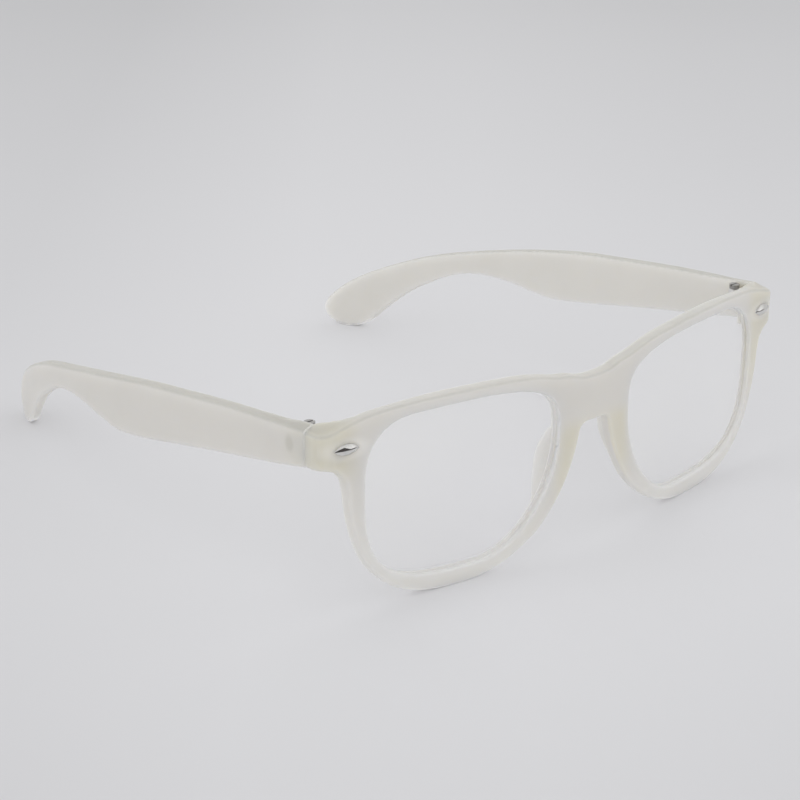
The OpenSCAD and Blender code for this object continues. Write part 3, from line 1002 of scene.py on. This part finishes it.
mesh = bpy.data.meshes.new("floor")
mesh.from_pydata([(-FLOOR, -FLOOR, 0), (FLOOR, -FLOOR, 0), (FLOOR, FLOOR, 0),
                  (-FLOOR, FLOOR, 0)], [], [(0, 1, 2, 3)])
mesh.materials.append(studio_floor())
floor = bpy.data.objects.new("floor", mesh)
bpy.context.scene.collection.objects.link(floor)

# World: a pale sky, brighter near the horizon. Reflections alone show a dark screen low in
# front, whose top falls towards the left of the glasses, and a grey card at their left.
SKY_TONES = (1.0, 0.58)
SKY_STRENGTH = 1.12
SCREEN_TONE = (0.07, 0.065, 0.065)
SCREEN_X = (0.15, 0.5)
SCREEN_TOP = (0.6, 0.18)
SCREEN_FRONT = -0.3
SCREEN_BLUR = 0.03
CARD_TONE = 0.62
CARD_X = (0.7, 0.9)


def studio_sky(tree):
    """The world's nodes."""
    direction = add(tree, "ShaderNodeTexCoord").outputs["Generated"]
    towards = add(tree, "ShaderNodeSeparateXYZ", {0: direction}).outputs
    reflected = add(tree, "ShaderNodeLightPath").outputs["Is Glossy Ray"]
    sky = ramp(tree, towards["Z"], [(i, grey(v)) for i, v in enumerate(SKY_TONES)])
    top = span(tree, towards["X"], *SCREEN_TOP, *SCREEN_X)
    below_top = calculated(tree, "SUBTRACT", top, towards["Z"])
    in_front = calculated(tree, "SUBTRACT", SCREEN_FRONT, towards["Y"])
    inside = calculated(tree, "MINIMUM", below_top, in_front)
    screen = span(tree, inside, start=0.0, end=SCREEN_BLUR)
    sky = mixed(tree, calculated(tree, "MULTIPLY", screen, reflected), sky, SCREEN_TONE)
    card = span(tree, towards["X"], start=CARD_X[0], end=CARD_X[1])
    sky = mixed(tree, calculated(tree, "MULTIPLY", card, reflected), sky, grey(CARD_TONE))
    background = add(tree, "ShaderNodeBackground", {"Color": sky, "Strength": SKY_STRENGTH})
    add(tree, "ShaderNodeOutputWorld", {"Surface": background.outputs[0]})


world = bpy.data.worlds.new("studio")
bpy.context.scene.world = world
world.use_nodes = True
world.node_tree.nodes.clear()
studio_sky(world.node_tree)

# A soft lamp, high up behind the right of the glasses
LAMP_AT = Vector((-0.3, 0.5, 1.6))
LAMP_W = 1.6
LAMP_POWER = 3
light = bpy.data.lights.new("overhead", "AREA")
light.shape = "SQUARE"
light.size = LAMP_W
light.energy = LAMP_POWER
lamp = bpy.data.objects.new("overhead", light)
bpy.context.scene.collection.objects.link(lamp)
lamp.location = LAMP_AT
lamp.rotation_euler = (-LAMP_AT).to_track_quat("-Z", "Y").to_euler()

# Camera, solved from the photograph
AZIMUTH = math.radians(-42.206)
ELEVATION = math.radians(21.691)
ROLL = math.radians(-0.449)
CAMERA_AT = (-0.351725, -0.398992, 0.223333)
SENSOR_W = 36
FOCAL = 103.505
back = Vector((math.sin(AZIMUTH) * math.cos(ELEVATION),
               -math.cos(AZIMUTH) * math.cos(ELEVATION), math.sin(ELEVATION)))
right = Vector((math.cos(AZIMUTH), math.sin(AZIMUTH), 0))
down = (-back).cross(right)
right, down = (math.cos(ROLL) * right + math.sin(ROLL) * down,
               -math.sin(ROLL) * right + math.cos(ROLL) * down)
place = Matrix((right, -down, back)).transposed().to_4x4()
place.translation = Vector(CAMERA_AT)
optics = bpy.data.cameras.new("camera")
optics.sensor_width = SENSOR_W
optics.lens = FOCAL
optics.clip_start = 0.01
optics.clip_end = 20
camera = bpy.data.objects.new("camera", optics)
bpy.context.scene.collection.objects.link(camera)
camera.matrix_world = place
bpy.context.scene.camera = camera

bpy.context.scene.view_settings.view_transform = "Standard"
